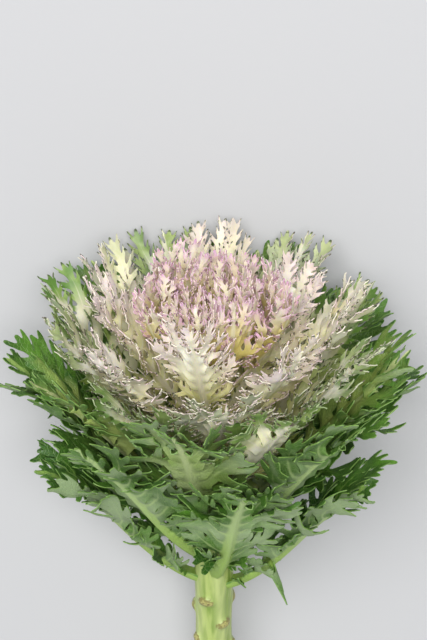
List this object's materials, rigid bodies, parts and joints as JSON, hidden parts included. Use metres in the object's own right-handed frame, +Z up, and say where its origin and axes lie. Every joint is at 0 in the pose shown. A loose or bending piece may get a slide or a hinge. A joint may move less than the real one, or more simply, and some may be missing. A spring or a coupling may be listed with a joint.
{
  "type": "ornamental kale stem",
  "caption": "Cut stem of feathery-leaved ornamental kale, lying down: a ribbed stalk with a rosette of lobed green leaves round cream ones and a crisped pink heart.",
  "frame": {"origin": "bottom centre of the box round the whole stem, on the surface that it lies on", "axes": "+Z up; +Y along the stalk from its cut end towards the head, the head raised by 9.9 degrees; +X to the right when looking along +Y"},
  "size_m": [0.207, 0.4064, 0.1681],
  "materials": {
    "stem": "smooth living stalk, yellow-green with paler ribs, satin",
    "green": "dark green leaf, waxy grey-green beneath, pale veins and edges",
    "cream": "cream leaf with white rib, pink and green at its cut edge",
    "heart": "pink and lilac crisped leaf tips over yellow-cream depths"
  },
  "bodies": {
    "root": {"stem": "stem", "outer_leaf_01": "green", "outer_leaf_02": "green", "outer_leaf_03": "green", "outer_leaf_04": "green", "outer_leaf_05": "green", "outer_leaf_06": "green", "outer_leaf_07": "green", "outer_leaf_08": "green", "outer_leaf_09": "green", "outer_leaf_10": "green", "outer_leaf_11": "green", "outer_leaf_12": "green", "outer_leaf_13": "green", "outer_leaf_14": "green", "outer_leaf_15": "green", "outer_leaf_16": "green", "cream_leaf_01": "cream", "cream_leaf_02": "cream", "cream_leaf_03": "cream", "cream_leaf_04": "cream", "cream_leaf_05": "cream", "cream_leaf_06": "cream", "cream_leaf_07": "cream", "cream_leaf_08": "cream", "cream_leaf_09": "cream", "cream_leaf_10": "cream", "cream_leaf_11": "cream", "cream_leaf_12": "cream", "cream_leaf_13": "cream", "cream_leaf_14": "cream", "cream_leaf_15": "cream", "cream_leaf_16": "cream", "cream_leaf_17": "cream", "heart": "heart"}
  },
  "joints": []
}
